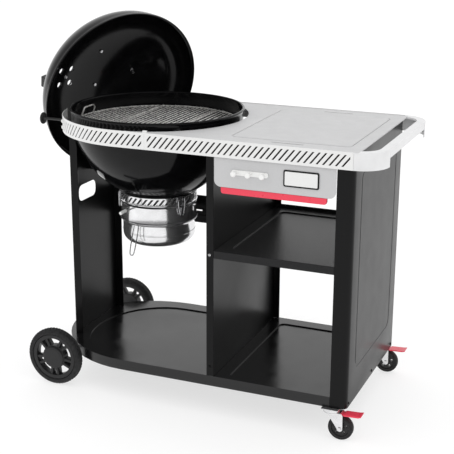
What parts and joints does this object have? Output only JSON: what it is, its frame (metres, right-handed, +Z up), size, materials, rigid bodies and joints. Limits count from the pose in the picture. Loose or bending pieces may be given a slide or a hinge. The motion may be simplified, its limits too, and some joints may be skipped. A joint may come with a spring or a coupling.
{
  "type": "kettle charcoal grill",
  "caption": "Round kettle charcoal grill in a wheeled cart with a side table, slotted rail, two shelves and an ash pot; the domed lid hangs open beside the bowl.",
  "frame": {"origin": "centre of the bounding box at floor level", "axes": "+X from the kettle to the side table, +Z up, the open front faces -Y"},
  "size_m": [1.334, 0.7738, 1.2075],
  "materials": {
    "black_enamel": "glossy black porcelain enamel on steel",
    "cart_paint": "black powder coat",
    "table_paint": "light grey powder coat",
    "rail_paint": "pale grey satin paint",
    "accent_red": "red satin paint",
    "bright_steel": "polished and plated steel",
    "plated_wire": "plated steel wire and strip",
    "black_plastic": "black moulded plastic",
    "tyre_rubber": "black tread",
    "white_plastic": "white moulded plastic"
  },
  "bodies": {
    "cart": {"base_shelf": "cart_paint", "middle_shelf": "cart_paint", "centre_divider": "cart_paint", "right_side_panel": "cart_paint", "left_leg": "cart_paint", "back_brace": "cart_paint", "bowl_bracket_left": "cart_paint", "bowl_bracket_right": "cart_paint", "table_top": "table_paint", "rail_left": "rail_paint", "rail_front": "rail_paint", "rail_back": "rail_paint", "end_handle": "rail_paint", "front_apron": "table_paint", "accent_bar": "accent_red", "badge_plate": "cart_paint", "tool_hooks": "white_plastic", "lid_rest_front": "black_plastic", "lid_rest_rear": "black_plastic", "bowl": "black_enamel", "cooking_grate": "plated_wire", "charcoal_grate": "plated_wire", "ash_collar": "bright_steel", "vent_ring": "cart_paint", "wheel_axle": "plated_wire", "axle_bracket_front": "plated_wire", "axle_bracket_rear": "plated_wire", "caster_front_mount": "bright_steel", "caster_rear_mount": "bright_steel"},
    "lid": {"lid_shell": "black_enamel", "lid_handle": "black_plastic", "lid_handle_shield": "plated_wire", "lid_thermometer": "plated_wire"},
    "lid_damper": {"lid_damper": "plated_wire", "lid_damper_grip": "black_plastic"},
    "grate_flap_left": {"grate_flap_left": "plated_wire"},
    "grate_flap_right": {"grate_flap_right": "plated_wire"},
    "ash_sweep": {"ash_sweep": "plated_wire", "sweep_lever": "plated_wire", "sweep_lever_grip": "white_plastic"},
    "ash_pot": {"ash_pot": "bright_steel", "ash_shroud": "bright_steel"},
    "pot_handle": {"pot_handle": "plated_wire"},
    "pot_clamp_left": {"pot_clamp_left": "plated_wire"},
    "pot_clamp_right": {"pot_clamp_right": "plated_wire"},
    "wheel_front": {"wheel_front_tyre": "tyre_rubber", "wheel_front_rim": "black_plastic", "wheel_front_cap": "black_plastic"},
    "wheel_rear": {"wheel_rear_tyre": "tyre_rubber", "wheel_rear_rim": "black_plastic", "wheel_rear_cap": "black_plastic"},
    "caster_front_fork": {"caster_front_fork": "bright_steel"},
    "caster_front_wheel": {"caster_front_wheel": "black_plastic"},
    "caster_front_brake": {"caster_front_brake": "accent_red"},
    "caster_rear_fork": {"caster_rear_fork": "bright_steel"},
    "caster_rear_wheel": {"caster_rear_wheel": "black_plastic"},
    "caster_rear_brake": {"caster_rear_brake": "accent_red"}
  },
  "joints": [
    {"name": "lid_close", "type": "hinge", "parent": "cart", "child": "lid", "pos_m": [-0.30896, 0.01678, 0.72985], "axis": [0.6033, 0.7867, -0.1306], "range_deg": [0, 71.61]},
    {"name": "lid_damper_turn", "type": "hinge", "parent": "lid", "child": "lid_damper", "pos_m": [-0.6132, 0.08841, 0.96877], "axis": [-0.9379, 0.2088, 0.277], "range_deg": [0, 45]},
    {"name": "grate_flap_left_lift", "type": "hinge", "parent": "cart", "child": "grate_flap_left", "pos_m": [-0.283, -0.0536, 0.87], "axis": [0, 1, 0], "range_deg": [0, 85]},
    {"name": "grate_flap_right_lift", "type": "hinge", "parent": "cart", "child": "grate_flap_right", "pos_m": [-0.073, -0.0536, 0.87], "axis": [0, -1, 0], "range_deg": [0, 85]},
    {"name": "ash_sweep_turn", "type": "hinge", "parent": "cart", "child": "ash_sweep", "pos_m": [-0.178, -0.0536, 0.59], "axis": [0, 0, 1], "range_deg": [0, 55]},
    {"name": "ash_pot_drop", "type": "slide", "parent": "cart", "child": "ash_pot", "axis": [0, 0, -1], "range_m": [0, 0.12]},
    {"name": "pot_handle_swing", "type": "hinge", "parent": "ash_pot", "child": "pot_handle", "pos_m": [-0.19652, -0.1854, 0.5478], "axis": [-0.9903, 0.1392, 0], "range_deg": [0, 70]},
    {"name": "pot_clamp_left_swing", "type": "hinge", "parent": "cart", "child": "pot_clamp_left", "pos_m": [-0.30213, -0.09878, 0.6365], "axis": [-0.342, 0.9397, 0], "range_deg": [0, 60]},
    {"name": "pot_clamp_right_swing", "type": "hinge", "parent": "cart", "child": "pot_clamp_right", "pos_m": [-0.0636, -0.11965, 0.6365], "axis": [-0.5, -0.866, 0], "range_deg": [0, 60]},
    {"name": "wheel_front_roll", "type": "hinge", "parent": "cart", "child": "wheel_front", "pos_m": [-0.436, -0.3321, 0.0985], "axis": [0, 1, 0], "continuous": true},
    {"name": "wheel_rear_roll", "type": "hinge", "parent": "cart", "child": "wheel_rear", "pos_m": [-0.436, 0.2124, 0.0985], "axis": [0, 1, 0], "continuous": true},
    {"name": "caster_front_swivel", "type": "hinge", "parent": "cart", "child": "caster_front_fork", "pos_m": [0.538, -0.3436, -0.01], "axis": [0, 0, 1], "continuous": true},
    {"name": "caster_front_roll", "type": "hinge", "parent": "caster_front_fork", "child": "caster_front_wheel", "pos_m": [0.569, -0.3436, 0.0395], "axis": [0, 1, 0], "continuous": true},
    {"name": "caster_front_brake_press", "type": "hinge", "parent": "caster_front_fork", "child": "caster_front_brake", "pos_m": [0.568, -0.3436, 0.0864], "axis": [0, 1, 0], "range_deg": [0, 15]},
    {"name": "caster_rear_swivel", "type": "hinge", "parent": "cart", "child": "caster_rear_fork", "pos_m": [0.538, 0.1984, -0.01], "axis": [0, 0, 1], "continuous": true},
    {"name": "caster_rear_roll", "type": "hinge", "parent": "caster_rear_fork", "child": "caster_rear_wheel", "pos_m": [0.569, 0.1984, 0.0395], "axis": [0, 1, 0], "continuous": true},
    {"name": "caster_rear_brake_press", "type": "hinge", "parent": "caster_rear_fork", "child": "caster_rear_brake", "pos_m": [0.568, 0.1984, 0.0864], "axis": [0, 1, 0], "range_deg": [0, 15]}
  ]
}
